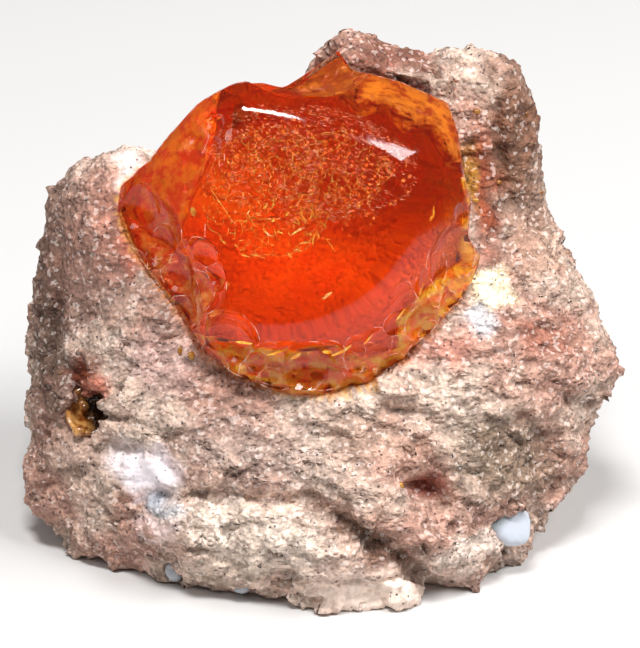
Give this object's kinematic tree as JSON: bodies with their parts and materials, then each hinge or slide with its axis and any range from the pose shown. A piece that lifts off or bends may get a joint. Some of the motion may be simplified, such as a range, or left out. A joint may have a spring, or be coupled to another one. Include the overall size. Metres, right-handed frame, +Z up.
{
  "type": "rough fire opal",
  "caption": "Rough fire opal: a clear orange-red nodule with a smooth dome and chipped rim, set in a broken piece of pinkish-grey rhyolite that stands on a flat base.",
  "frame": {"origin": "middle of the bounding box at the base, on the surface the stone stands on", "axes": "+Z up, -Y towards the viewer of the broad face, which leans back 27 degrees, +X to that viewer's right"},
  "size_m": [0.0655, 0.0459, 0.0533],
  "materials": {
    "rhyolite": "rough, fine-grained, hackly",
    "fire_opal": "polished by nature, clear orange-red",
    "amber_opal": "glossy, knobbly, amber-brown",
    "milky_opal": "glossy, milky blue-white"
  },
  "bodies": {
    "root": {"rhyolite_matrix": "rhyolite", "fire_opal": "fire_opal", "amber_opal_crust": "amber_opal", "milky_opal_chip": "milky_opal", "white_opal_bead_left": "milky_opal", "white_opal_bead_right": "milky_opal"}
  },
  "joints": []
}
